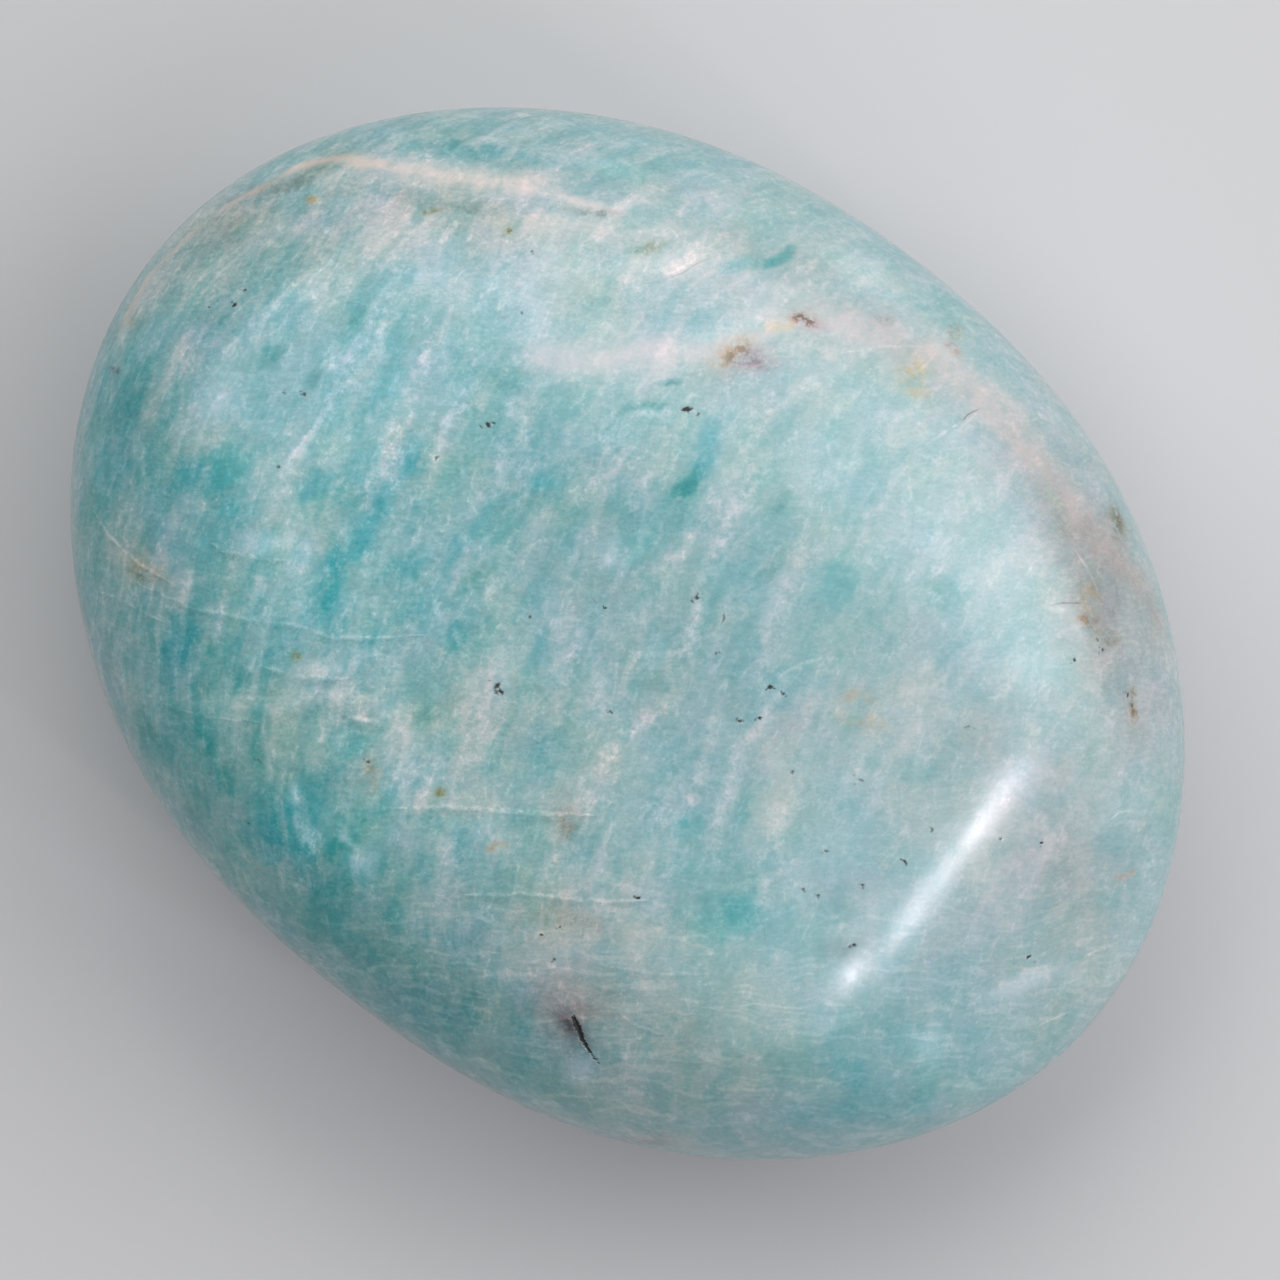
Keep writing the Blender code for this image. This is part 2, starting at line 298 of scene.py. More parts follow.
# Thin cleavage steps: pale on the upper side, with painted shade just below, a darker strip where the
# step's shadow would fall
CLEAVAGE_LINES = [
    (2, 0.85, [(92, 508), (109, 535), (138, 562), (174, 584)]),
    (2.2, 0.9, [(205, 541), (232, 552), (258, 558), (287, 560)]),
    (2, 0.75, [(128, 579), (195, 608), (234, 616), (290, 624), (335, 637), (382, 637), (432, 634)]),
    (2.4, 0.9, [(258, 665), (301, 676), (351, 678)]),
    (2.4, 0.9, [(340, 713), (366, 720), (393, 726)]),
    (2.4, 0.8, [(388, 808), (450, 806), (520, 812), (602, 815)]),
    (2.2, 0.7, [(458, 895), (520, 893), (590, 900), (652, 900)]),
    (1.8, 0.55, [(598, 964), (647, 972), (680, 974), (713, 973)]),
    (1.8, 0.6, [(615, 1010), (640, 1027), (667, 1035)]),
    (1.6, 0.6, [(96, 590), (130, 604), (168, 624)]),
    (1.6, 0.6, [(160, 702), (206, 716), (262, 722)]),
    (1.4, 0.35, [(640, 1056), (690, 1062), (740, 1058)]),
    (1.4, 0.3, [(700, 1008), (760, 1004), (812, 1010)]),
]

# Thin dark or brown lines
DARK_LINES = [
    (1.1, 0.75, [(961, 422), (968, 414), (979, 409)]),
    (0.9, 0.55, [(662, 280), (683, 273), (699, 262), (715, 257)]),
    (1.2, 0.5, [(1048, 606), (1064, 603), (1082, 603)]),
    (0.9, 0.85, [(591, 596), (594, 600), (598, 604)]),
    (1.5, 0.9, [(724, 613), (725, 618), (723, 624)]),
    (1.6, 0.85, [(793, 317), (800, 316), (808, 321), (818, 324)]),
    (0.8, 0.35, [(764, 922), (766, 946)]),
    (0.8, 0.3, [(688, 914), (686, 938)]),
]

# Dark specks, each as: x, y, half length, half width, direction, darkness, depth of its pit
SPECKS = [
    (234, 305, 2.9, 2, 30, 1, 0.4), (245, 290, 2, 1.4, -5, 0.9, 0.2), (209, 307, 4, 1.3, -30, 0.8, 0.2),
    (304, 394, 2.1, 1.6, -40, 0.8, 0.2), (284, 393, 1.6, 1.3, -15, 0.7, 0.2),
    (279, 467, 1.7, 1.3, 15, 0.8, 0.2), (436, 458, 2, 1.2, -85, 0.8, 0.2),
    (488, 425, 3.4, 2, -60, 1, 0.4), (522, 313, 1.7, 1.3, 75, 0.7, 0.2),
    (532, 251, 1.7, 1.3, 55, 0.7, 0.2), (368, 762, 2.3, 1.6, 0, 0.9, 0.3),
    (258, 760, 1.7, 1.3, 75, 0.7, 0.2), (249, 823, 1.7, 1.3, -70, 0.7, 0.2),
    (530, 617, 1.7, 1.3, -60, 0.8, 0.2), (687, 409, 6.3, 2.2, 10, 1, 0.7),
    (497, 686, 3.9, 1.8, 40, 1, 0.5), (501, 692, 3.4, 1.8, -50, 1, 0.5),
    (496, 693, 2.1, 1.3, -30, 0.9, 0.2), (605, 608, 2.1, 1.3, -10, 0.9, 0.2),
    (697, 598, 2.3, 2, 0, 0.9, 0.3), (770, 687, 2.5, 1.8, 0, 1, 0.4), (783, 694, 2.1, 1.3, 15, 0.9, 0.3),
    (611, 712, 2.3, 1.3, -55, 0.9, 0.2), (716, 653, 1.6, 1.3, -90, 0.7, 0.2),
    (740, 721, 2.3, 1.6, 0, 1, 0.3), (760, 718, 2.3, 1.3, 0, 1, 0.3), (793, 771, 1.7, 1.3, 5, 0.8, 0.2),
    (861, 780, 4, 1.2, -20, 0.7, 0.2), (967, 727, 3.4, 1.2, 10, 0.7, 0.2),
    (932, 829, 2.1, 1.3, -70, 0.9, 0.3), (1001, 839, 1.7, 1.3, 5, 0.7, 0.2),
    (1042, 843, 2.8, 1.3, 0, 1, 0.3), (826, 851, 1.7, 1.3, 15, 0.8, 0.2),
    (905, 862, 3.7, 1.6, -40, 1, 0.4), (862, 885, 4, 1.3, -15, 0.9, 0.3),
    (803, 889, 2, 1.3, -10, 0.8, 0.2), (818, 895, 2, 1.3, -10, 0.8, 0.2),
    (854, 945, 2.3, 1.6, 0, 1, 0.3), (1029, 957, 3.4, 1.3, 30, 1, 0.3), (638, 898, 2.5, 1.6, 0, 1, 0.3),
    (541, 935, 2, 1.3, 10, 0.9, 0.2), (560, 927, 1.7, 1.3, 40, 0.8, 0.2),
    (554, 959, 2, 1.3, 55, 0.8, 0.2), (1103, 650, 2.1, 1.6, 60, 0.9, 0.2),
    (1075, 660, 2.3, 1.3, -5, 1, 0.3), (1128, 695, 2.5, 1.6, 60, 0.9, 0.3),
    (1098, 640, 2, 1.3, 75, 0.8, 0.2),
]
PIT_DEPTH = 0.00012
BUMP_SIZE = 0.00012  # of the crumbly outline of a speck and of the crack
SPECK_BUMPS = 0.7  # height of those bumps, in half widths of the speck

# Crumbs: two round each speck, or one where it is no darker than FAINT_SPECK
FAINT_SPECK = 0.65
CRUMB_SPREAD = (2.2, 1.6)  # half lengths of the speck, across and up the picture
CRUMB_SIZES = (0.35, 0.6)  # half widths of the speck
CRUMB_LENGTH = 2.2  # half widths of the crumb
CRUMB_TURN = 70  # degrees
CRUMB_SHARES = (0.8, 0.5)  # of the speck's darkness and depth

# The open crack near the lower edge
CRACK_PLACES = [(573, 1017), (578, 1029), (583, 1041), (589, 1051), (594, 1057), (598, 1063)]
CRACK_HALF_WIDTHS = (2.0, 3.3, 2.6, 1.7, 1.2, 0.6)
CRACK_DEPTH = 0.00016
CRACK_BUMPS = 2.5  # pixels
CRACK_HALO = [
    (572, 1030, 36, 24, -50, 0.08, -0.22, 0.04),
    (571, 1026, 17, 10, -60, 0.04, -0.34, 0.05),
    (567, 1021, 8, 8, 0, 0, -0.1, 0.02),
    (582, 1008, 16, 7, -20, 0.04, -0.06, 0),
]


def smooth_step(low, high, value):
    """0 up to low, 1 from high on, and a soft step between."""
    share = np.clip((value - low) / (high - low), 0, 1)
    return share * share * (3 - 2 * share)


# The shape of the stone


def outline_radius(direction):
    """Distance from the middle to the widest contour, towards each direction in radians."""
    ellipse = 1.0 / np.hypot(np.cos(direction) / (LENGTH / 2), np.sin(direction) / (WIDTH / 2))
    swell = np.ones_like(direction)
    for waves, share, crest in OUTLINE_SWELLS.values():
        swell += share * np.cos(waves * (direction - math.radians(crest)))
    return ellipse * swell


def pebble(points):
    """Move points out to the pebble's surface, along their rays from the middle."""
    direction = np.arctan2(points[:, 1], points[:, 0])
    across = np.hypot(points[:, 0], points[:, 1]) / outline_radius(direction)
    is_top = points[:, 2] > 0
    half_height = np.where(is_top, THICKNESS - WAIST_HEIGHT, WAIST_HEIGHT + FOOT_DEPTH)
    steepness = STEEP_SIDE_EXTRA * np.cos(direction - math.radians(STEEP_SIDE_DIRECTION))
    roundness = np.where(is_top, TOP_ROUNDNESS + steepness, UNDERSIDE_ROUNDNESS)
    size = (across**roundness + np.abs(points[:, 2] / half_height) ** roundness) ** (1 / roundness)
    return points / size[:, None]


def grind(points, slope_direction, tilt, distance, edge):
    """Press points beyond a plane back to it, with a rounded edge instead of a crease."""
    towards = math.radians(slope_direction)
    lean = math.radians(tilt)
    normal = np.array(
        [math.sin(lean) * math.cos(towards), math.sin(lean) * math.sin(towards), math.cos(lean)]
    )
    beyond = points @ normal - distance
    return points - np.outer(edge * np.logaddexp(0, beyond / edge), normal)


def ripple(points, height, wavelength, direction):
    """Raise and lower the top in a long soft wave that fades towards the waist."""
    towards = math.radians(direction)
    run = points[:, 0] * math.cos(towards) + points[:, 1] * math.sin(towards)
    rays = points / np.linalg.norm(points, axis=1)[:, None]
    reach = np.where(rays[:, 2] > 0, rays[:, 2], -UNDERSIDE_CALM * rays[:, 2])
    lift = height * reach * np.sin(2 * math.pi * run / wavelength)
    return points + rays * lift[:, None]


def stone_points(rays):
    """The finished surface in the frame, one point on each ray from the middle of the waist."""
    points = pebble(rays)
    for face in GROUND_FACES.values():
        points = grind(points, *face)
    for wave in RIPPLES.values():
        points = ripple(points, *wave)
    points = grind(points, *FOOT)
    low = points.min(axis=0)
    scale = np.array([LENGTH, WIDTH, THICKNESS]) / (points.max(axis=0) - low)
    return (points - low) * scale - np.array([LENGTH / 2, WIDTH / 2, 0])


def ray_points(bm):
    return np.array([v.co for v in bm.verts])


# Places seen in the picture


def direction_in_frame(angle):
    """A horizontal direction of the picture, in the frame."""
    turned = math.radians(angle)
    return math.cos(turned) * PICTURE_RIGHT + math.sin(turned) * PICTURE_UP


def camera_place():
    """Straight above, where the stone's middle falls on its place in the picture."""
    x, y = STONE_MIDDLE_IN_PICTURE
    sideways = (PICTURE / 2 - x) * PIXEL * PICTURE_RIGHT
    upwards = (y - PICTURE / 2) * PIXEL * PICTURE_UP
    return sideways + upwards + np.array([0, 0, WAIST_HEIGHT + CAMERA_HEIGHT])


def on_stone(tree, x, y):
    """The point of the stone that is seen at a place in the picture."""
    eye = camera_place()
    aim = (x - PICTURE / 2) * PIXEL * PICTURE_RIGHT + (PICTURE / 2 - y) * PIXEL * PICTURE_UP
    aim = aim - np.array([0, 0, CAMERA_HEIGHT])
    hit = tree.ray_cast(Vector(eye), Vector(aim).normalized())[0]
    if hit is None:
        hit = tree.find_nearest(Vector(eye + aim))[0]
    return np.array(hit)


def on_stone_all(tree, route):
    return np.array([on_stone(tree, x, y) for x, y in route])


def wander(points):
    """Shift points by a soft random amount, so that marks drawn on them get natural edges."""
    moved = points.copy()
    for reach, density in WANDER:
        moved += reach * np.array([noise.noise_vector(Vector(p) * density) for p in points])
    return moved


def patch_changes(points, tree, patches):
    """Change of the stone's three numbers by soft patches, and the strongest patch's share."""
    changes = np.zeros((len(points), 3))
    strongest = np.zeros(len(points))
    for x, y, half_length, half_width, direction, *change in patches:
        offset = points - on_stone(tree, x, y)
        along = offset @ direction_in_frame(direction) / (half_length * PIXEL)
        across = offset @ direction_in_frame(direction + 90) / (half_width * PIXEL)
        deep = offset[:, 2] / (MARK_DEPTH + half_length * PIXEL)
        share = np.exp(-(along**2 + across**2 + deep**2) ** PATCH_EDGE)
        changes += np.outer(share, change)
        strongest = np.maximum(strongest, share)
    return changes, strongest


def nearest_on_line(points, places):
    """For each point: distance to a line of places, side (+1 or -1), and share of the way along it."""
    lengths = np.linalg.norm(np.diff(places, axis=0), axis=1)
    starts = np.concatenate([[0], np.cumsum(lengths)])
    distance = np.full(len(points), np.inf)
    side = np.ones(len(points))
    run = np.zeros(len(points))
    for i, length in enumerate(lengths):
        step = places[i + 1] - places[i]
        offset = points - places[i]
        share = np.clip(offset @ step / length**2, 0, 1)
        gap = offset - share[:, None] * step
        span = np.linalg.norm(gap, axis=1)
        closer = span < distance
        distance[closer] = span[closer]
        side[closer] = np.sign(step[0] * gap[closer, 1] - step[1] * gap[closer, 0])
        run[closer] = (starts[i] + share[closer] * length) / starts[-1]
    return distance, side, run


def taper(run, share):
    """1 along a line, falling to 0 over a share of it at both ends."""
    return smooth_step(0, share, run) * smooth_step(0, share, 1 - run)


def band_changes(points, tree, bands):
    """Change of the stone's three numbers by the strongest soft band at each point."""
    changes = np.zeros((len(points), 3))
    strongest = np.zeros(len(points))
    for half_width, *change, route in bands:
        places = on_stone_all(tree, route)
        near = near_route(points, places, BAND_REACH * half_width * PIXEL)
        distance, _, run = nearest_on_line(points[near], places)
        fade = BAND_TIP + (1 - BAND_TIP) * taper(run, BAND_TAPER)
        share = np.exp(-((distance / (half_width * PIXEL)) ** 2)) * fade
        wins = share > strongest[near]
        changes[near[wins]] = np.outer(share[wins], change)
        strongest[near[wins]] = share[wins]
    return changes


def near_route(points, places, margin):
    """Which points lie in the box round a route."""
    low = places.min(axis=0) - margin
    high = places.max(axis=0) + margin
    return np.flatnonzero(((points > low) & (points < high)).all(axis=1))


def line_field(points, tree, lines):
    """Distance to the nearest crisp line, in its half widths, and its strength there."""
    nearest = np.full(len(points), LINE_REACH)
    second = np.full(len(points), LINE_REACH)
    across = np.full(len(points), NO_LINE)
    strength = np.zeros(len(points))
    for half_width, line_strength, route in lines:
        places = on_stone_all(tree, route)
        near = near_route(points, places, LINE_REACH)
        distance, side, run = nearest_on_line(points[near], places)
        width = half_width * PIXEL * (LINE_TIP + (1 - LINE_TIP) * taper(run, LINE_TAPER))
        wins = distance < nearest[near]
        second[near] = np.where(wins, nearest[near], np.minimum(second[near], distance))
        across[near[wins]] = (side * distance / width)[wins]
        strength[near[wins]] = (line_strength * taper(run, LINE_ENDS))[wins]
        nearest[near[wins]] = distance[wins]
    is_alone = smooth_step(*LINE_GUARD, second - nearest)
    is_near = smooth_step(LINE_REACH, LINE_FADE * LINE_REACH, nearest)
    return across, strength * is_alone * is_near


def speck_places():
    """Every dark speck, and the crumbs round each."""
    chance = random.Random(CRUMB_SEED)
    places = []
    for speck in SPECKS:
        places.append(speck)
        x, y, half_length, half_width, direction, *strengths = speck
        for _ in range(2 if strengths[0] > FAINT_SPECK else 1):
            gap_x, gap_y = (half_length * chance.uniform(-reach, reach) for reach in CRUMB_SPREAD)
            size = half_width * chance.uniform(*CRUMB_SIZES)
            turn = direction + chance.uniform(-CRUMB_TURN, CRUMB_TURN)
            dark, deep = (share * strength for share, strength in zip(CRUMB_SHARES, strengths))
            places.append((x + gap_x, y + gap_y, CRUMB_LENGTH * size, size, turn, dark, deep))
    return places


def crumbled(points, reach):
    """Points shifted by a very fine noise, which gives small marks a crumbly outline."""
    shifts = np.array([noise.noise_vector(Vector(p) / BUMP_SIZE) for p in points])
    return points + reach * shifts.reshape(-1, 3)


def speck_field(points, tree):
    """Darkness of the specks, and the depth of their pits as a share of the deepest."""
    darkness = np.zeros(len(points))
    depth = np.zeros(len(points))
    for x, y, half_length, half_width, direction, dark, deep in speck_places():
        middle = on_stone(tree, x, y)
        near = near_route(points, middle[None, :], SPECK_REACH * half_length * PIXEL)
        offset = crumbled(points[near], SPECK_BUMPS * half_width * PIXEL) - middle
        along = offset @ direction_in_frame(direction)
        rest = np.linalg.norm(offset, axis=1) ** 2 - along**2
        size = np.sqrt((along / half_length) ** 2 + rest / half_width**2) / PIXEL
        darkness[near] = np.maximum(darkness[near], dark * smooth_step(*SPECK_EDGE, size))
        depth[near] = np.maximum(depth[near], deep * smooth_step(*PIT_EDGE, size))
    return darkness, depth


def crack_field(points, tree):
    """How deep inside the open crack each point is: 1 in its middle, 0 from its lips outwards."""
    places = on_stone_all(tree, CRACK_PLACES)
    inside = np.zeros(len(points))
    near = near_route(points, places, CRACK_REACH)
    distance, _, run = nearest_on_line(crumbled(points[near], CRACK_BUMPS * PIXEL), places)
    stations = np.linspace(0, 1, len(CRACK_HALF_WIDTHS))
    half_width = np.interp(run, stations, CRACK_HALF_WIDTHS) * PIXEL
    inside[near] = smooth_step(*CRACK_EDGE, distance / half_width)
    return inside


# The stone's mesh


def surface_tree(bm):
    points = stone_points(ray_points(bm))
    faces = [[v.index for v in face.verts] for face in bm.faces]
    return BVHTree.FromPolygons([Vector(p) for p in points], faces)


def refine(bm, centres, reach):
    """Halve the edges that start or end within reach of any of the centres."""
    points = stone_points(ray_points(bm))
    bm.verts.ensure_lookup_table()
    is_near = np.zeros(len(points), dtype=bool)
    for centre in centres:
        near = near_route(points, centre[None, :], reach)
        is_near[near[np.linalg.norm(points[near] - centre, axis=1) < reach]] = True
    edges = [e for e in bm.edges if is_near[e.verts[0].index] or is_near[e.verts[1].index]]
    bmesh.ops.subdivide_edges(bm, edges=edges, cuts=1, use_grid_fill=True)
    bmesh.ops.triangulate(bm, faces=[f for f in bm.faces if len(f.verts) > 3])
    bm.verts.index_update()


def route_centres(tree, route, spacing_px):
    """Closely spaced points of the stone along a route."""
    centres = []
    for (x0, y0), (x1, y1) in zip(route, route[1:]):
        steps = max(1, round(math.hypot(x1 - x0, y1 - y0) / spacing_px))
        for i in range(steps + 1):
            centres.append(on_stone(tree, x0 + (x1 - x0) * i / steps, y0 + (y1 - y0) * i / steps))
    return centres


def pit_centres(tree):
    centres = [on_stone(tree, x, y) for x, y, *_ in speck_places()]
    return centres + route_centres(tree, CRACK_PLACES, CRACK_SPACING)


def line_centres(tree):
    centres = []
    for _, _, route in CREAM_LINES + CLEAVAGE_LINES + DARK_LINES:
        centres += route_centres(tree, route, LINE_SPACING)
    return centres


def small_mark_centres(tree):
    """Points along every patch that is too small for the even triangles."""
    patches = BLUE_GREEN_POOLS + PALE_CLOUDS + GREYISH_PINK_PATCHES + STAINS
    centres = []
    for x, y, half_length, half_width, direction, *_ in patches:
        if half_width < SMALL_MARK:
            reach_x = SMALL_MARK_SHARE * half_length * math.cos(math.radians(direction))
            reach_y = SMALL_MARK_SHARE * half_length * math.sin(math.radians(direction))
            ends = [(x - reach_x, y + reach_y), (x + reach_x, y - reach_y)]
            centres += route_centres(tree, ends, PATCH_SPACING)
    return centres


def stone_mesh():
    """The stone, finer than the CAD solid, with its pits and crack, and its marks as attributes."""
    bm = bmesh.new()
    bmesh.ops.create_icosphere(bm, subdivisions=SPHERE_SUBDIVISIONS, radius=1.0)
    for vert in bm.verts:
        vert.co = (vert.co.x * LENGTH / 2, vert.co.y * WIDTH / 2, vert.co.z * THICKNESS / 2)
    tree = surface_tree(bm)
    refine(bm, line_centres(tree) + small_mark_centres(tree), FINE_ZONES[0])
    for reach in FINE_ZONES:
        refine(bm, pit_centres(tree), reach)
    points = stone_points(ray_points(bm))
    for vert, point in zip(bm.verts, points):
        vert.co = point
    bm.normal_update()
    normals = np.array([v.normal for v in bm.verts])
    fields = mark_fields(points, tree)
    sink = np.maximum(PIT_DEPTH * fields["pit"], CRACK_DEPTH * fields["crack"])
    for vert, point in zip(bm.verts, points - sink[:, None] * normals):
        vert.co = point
    mesh = bpy.data.meshes.new("amazonite_palm_stone")
    bm.to_mesh(mesh)
    bm.free()
    mesh.shade_smooth()
    store_fields(mesh, fields)
    return mesh


def mark_fields(points, tree):
    """Every mark on the stone, as numbers at its points."""
    drawn = wander(points)
    wash, _ = patch_changes(drawn, tree, WIDE_WASHES + PALE_CLOUDS + GREYISH_PINK_PATCHES)
    halo, _ = patch_changes(points, tree, CRACK_HALO)
    pool, in_pool = patch_changes(drawn, tree, BLUE_GREEN_POOLS)
    fields = {
        "wash": wash + halo,
        "pool": pool,
        "pool_share": in_pool,
        "streak": band_changes(drawn, tree, PALE_BANDS),
        "stain": patch_changes(drawn, tree, STAINS)[0],
        "vein": band_changes(drawn, tree, CREAM_BANDS),
        "crack": crack_field(points, tree),
    }
    fields["speck"], fields["pit"] = speck_field(points, tree)
    line_sets = {"cream_line": CREAM_LINES, "cleavage": CLEAVAGE_LINES, "dark_line": DARK_LINES}
    for name, lines in line_sets.items():
        fields[name + "_across"], fields[name + "_strength"] = line_field(points, tree, lines)
    return fields


def store_fields(mesh, fields):
    for name, field in fields.items():
        kind, key = ("FLOAT", "value") if field.ndim == 1 else ("FLOAT_VECTOR", "vector")
        attribute = mesh.attributes.new(name, kind, "POINT")
        attribute.data.foreach_set(key, field.astype(np.float32).ravel())


# Materials


class Graph:
    """Short calls for putting nodes into a material."""

    def __init__(self, material):
        material.use_nodes = True
        self.tree = material.node_tree
        self.shader = self.tree.nodes["Principled BSDF"]

    def plug(self, socket, value):
        if isinstance(value, bpy.types.NodeSocket):
            self.tree.links.new(value, socket)
        else:
            socket.default_value = value

    def math(self, operation, a, b=0.0, c=0.0):
        node = self.tree.nodes.new("ShaderNodeMath")
        node.operation = operation
        for socket, value in zip(node.inputs, (a, b, c)):
            self.plug(socket, value)
        return node.outputs[0]

    def vector(self, operation, a, b=(0, 0, 0), output="Vector"):
        node = self.tree.nodes.new("ShaderNodeVectorMath")
        node.operation = operation
        self.plug(node.inputs[0], a)
        self.plug(node.inputs[1], b)
        return node.outputs[output]

    def dot(self, a, b):
        return self.vector("DOT_PRODUCT", a, tuple(b), "Value")

    def scaled(self, vector, factor):
        node = self.tree.nodes.new("ShaderNodeVectorMath")
        node.operation = "SCALE"
        self.plug(node.inputs[0], vector)
        self.plug(node.inputs["Scale"], factor)
        return node.outputs["Vector"]

    def noise(self, place, scale, detail, roughness, output="Fac"):
        node = self.tree.nodes.new("ShaderNodeTexNoise")
        self.plug(node.inputs["Vector"], place)
        node.inputs["Scale"].default_value = scale
        node.inputs["Detail"].default_value = detail
        node.inputs["Roughness"].default_value = roughness
        return node.outputs[output]

    def step(self, value, low, high, to_low=0.0, to_high=1.0):
        node = self.tree.nodes.new("ShaderNodeMapRange")
        node.interpolation_type = "SMOOTHSTEP"
        for socket, number in zip(node.inputs, (value, low, high, to_low, to_high)):
            self.plug(socket, number)
        return node.outputs[0]

    def attribute(self, name, output="Fac"):
        node = self.tree.nodes.new("ShaderNodeAttribute")
        node.attribute_name = name
        return node.outputs[output]

    def combine(self, x, y, z, kind="ShaderNodeCombineXYZ"):
        node = self.tree.nodes.new(kind)
        for socket, value in zip(node.inputs, (x, y, z)):
            self.plug(socket, value)
        return node.outputs[0]

    def mix(self, share, under, over):
        node = self.tree.nodes.new("ShaderNodeMix")
        node.data_type = "RGBA"
        self.plug(node.inputs["Factor"], share)
        self.plug(node.inputs[6], under)
        self.plug(node.inputs[7], (*over, 1))
        return node.outputs[2]

    def times(self, *values):
        return reduce(lambda product, value: self.math("MULTIPLY", product, value), values)

    def added(self, *vectors):
        return reduce(lambda total, vector: self.vector("ADD", total, vector), vectors)

    def centred(self, value, middle, weight=1.0):
        """weight times how far the value is above its middle."""
        return self.math("MULTIPLY", self.math("SUBTRACT", value, middle), weight)

    def unrest(self, place, noise_kind, change):
        """Noise round zero in all three numbers, each by its own change."""
        colours = self.noise(place, *noise_kind, "Color")
        return self.vector("MULTIPLY", self.vector("SUBTRACT", colours, (0.5, 0.5, 0.5)), change)

    def ridges(self, noise_value):
        """Thin winding lines where a noise passes through its middle value."""
        return self.step(self.math("ABSOLUTE", self.centred(noise_value, 0.5)), RIDGE_WIDTH, 0.0)


# Polish, pits and colour
STONE_IOR = 1.53
ROUGHNESS = (0.3, 0.7, 0.17, 0.23)  # low and high end of the noise, and the roughness there
PIT_ROUGHNESS = 0.4  # more than on the polish
RELIEF_STRENGTH, RELIEF_HEIGHT = 0.4, 0.01 * MM
SPECK_BLACK = (0.020, 0.022, 0.024)
CRACK_BLACK_EDGE = (0.05, 0.40)  # how far inside the crack the black begins and is full
LEAST_RED, LEAST_LIGHT = 0.15, 0.20
GREEN, GREEN_BY_RED = 0.35, 0.19  # redder amazonite is a little lighter too
RIDGE_WIDTH = 0.045

# The stone's noises, each as: density per millimetre or per grain, octaves and their roughness
MOTTLE = (1.4, 3.0, 0.75)
RAGGED = (0.9, 4.0, 0.72)
BEND = (0.10, 3.0, 0.6)
SHEET_CUT = (1.0, 1.0, 0.5)
BLOTCH = (1.0, 3.0, 0.60)
FILAMENT = (1.0, 2.0, 0.55)
POLISH = (0.5, 3.0, 0.6)
RELIEF = (2.2, 2.0, 0.6)

# The stone's texture is calmer towards one side of the picture: where the change starts and ends,
# in millimetres to the right of the middle, and the strength of the texture there
CALM_SIDE = (-18.0, 16.0)
CONTRAST_RANGE = (1.20, 0.72)
CALM_IN_VEINS = (2.0, 0.0, 0.0)  # how much each number of a vein calms the texture inside it

STREAK_DIRECTION = 65.0
SHEET_TILT = 33.0

# Sheets of pale feldspar run through the whole stone and show as streaks: direction of the streaks
# in the picture, lean out of the vertical, size along the streak, across it and in depth in
# millimetres, change of red share, lightness and blue share that they make, and their strength
# near the picture's lower edge
SHEETS = (
    (STREAK_DIRECTION, SHEET_TILT, (11.0, 1.8, 8.0), (0.090, 0.030, -0.010), 0.45),
    (STREAK_DIRECTION, SHEET_TILT, (6.0, 0.7, 5.0), (0.065, 0.055, 0.000), 0.40),
    (84.0, 12.0, (4.0, 0.6, 3.0), (0.040, 0.035, 0.000), 0.40),
    (-3.0, 0.0, (3.4, 0.45, 2.5), (0.030, 0.036, -0.005), 3.0),
)
LOWER_EDGE = (-20.0, -12.0)  # where that strength holds and where it ends, in mm up the picture
SHEET_BEND = 4.5  # millimetres
SHEET_FUZZ = 0.36
SHEET_EDGE = (0.50, 0.68)
USUAL_SHEET_SHARE = 0.35

# Grains along the streaks, in millimetres along, across and in depth, and the level grain
BLOTCH_SIZE = (3.4, 1.7, 3.0)
FILAMENT_SIZE = (3.2, 0.9, 2.4)
LEVEL_GRAIN_DIRECTION = 4.0
LEVEL_GRAIN_SIZE = (0.42, 0.2, 0.5)

# Marks are stronger where a noise is high: which noise, its low and high end, and the strengths there
UNEVENNESS = {
    "wash": ("ragged", 0.30, 0.70, 0.85, 1.15),
    "streak": ("mottle", 0.35, 0.60, 0.6, 1.7),
    "stain": ("mottle", 0.38, 0.58, 0.2, 1.6),
    "vein": ("ragged", 0.34, 0.56, 0.90, 1.10),
}

# The blue-green pools: how ragged they are, where their edges start and end, and their strength
POOL_RAGGED = 1.3
POOL_EDGE = (0.10, 0.62)
POOL_STRENGTH = 1.2

# Crisp lines: how far they waver in half widths, where they start and end, and where the painted shade
# below a cleavage step rises and fades, all in half widths, and how the mottle breaks them up
LINE_WAVER = 4.0
LINE_EDGE = (1.4, 0.2)
PAINTED_SHADE_RISE = (-0.8, -1.6)
PAINTED_SHADE_FADE = (-7.0, -2.0)
LINE_BREAKS = (0.36, 0.56, 0.2, 1.0)

# Change of red share, lightness and blue share that each pattern in the stone makes at its fullest
BLOTCHES = (0.14, 0.04, -0.01)
THREADS = (0.08, 0.12, -0.01)
LINE_COLOURS = {
    "cream_line": (0.20, 0.25, -0.04),
    "cleavage": (0.12, 0.20, -0.01),
    "dark_line": (0.15, -0.60, -0.05),
}
# painted shade: the darker strip drawn below each cleavage step, where its shadow would fall
CLEAVAGE_PAINTED_SHADE = (-0.04, -0.16, 0.00)

# Unrest in the stone's numbers: the kind of noise, and the change that it makes
UNREST = (
    ((0.22, 2.0, 0.60), (0.26, 0.00, 0.26)),
    ((0.28, 4.0, 0.78), (0.06, 0.32, 0.06)),
)
LEVEL_GRAIN = ((1.0, 2.0, 0.6), (0.02, 0.36, 0.00))

# Usual share of each pattern, and its weight
BLOTCH_EDGE = (0.40, 0.57)
BLOTCH_MIDDLE = (0.6, 1.0)
THREAD_MIDDLE = (0.15, 0.6)
FILAMENT_MIDDLE = (0.07, 0.9)
FILAMENT_AREAS = (0.46, 0.62)


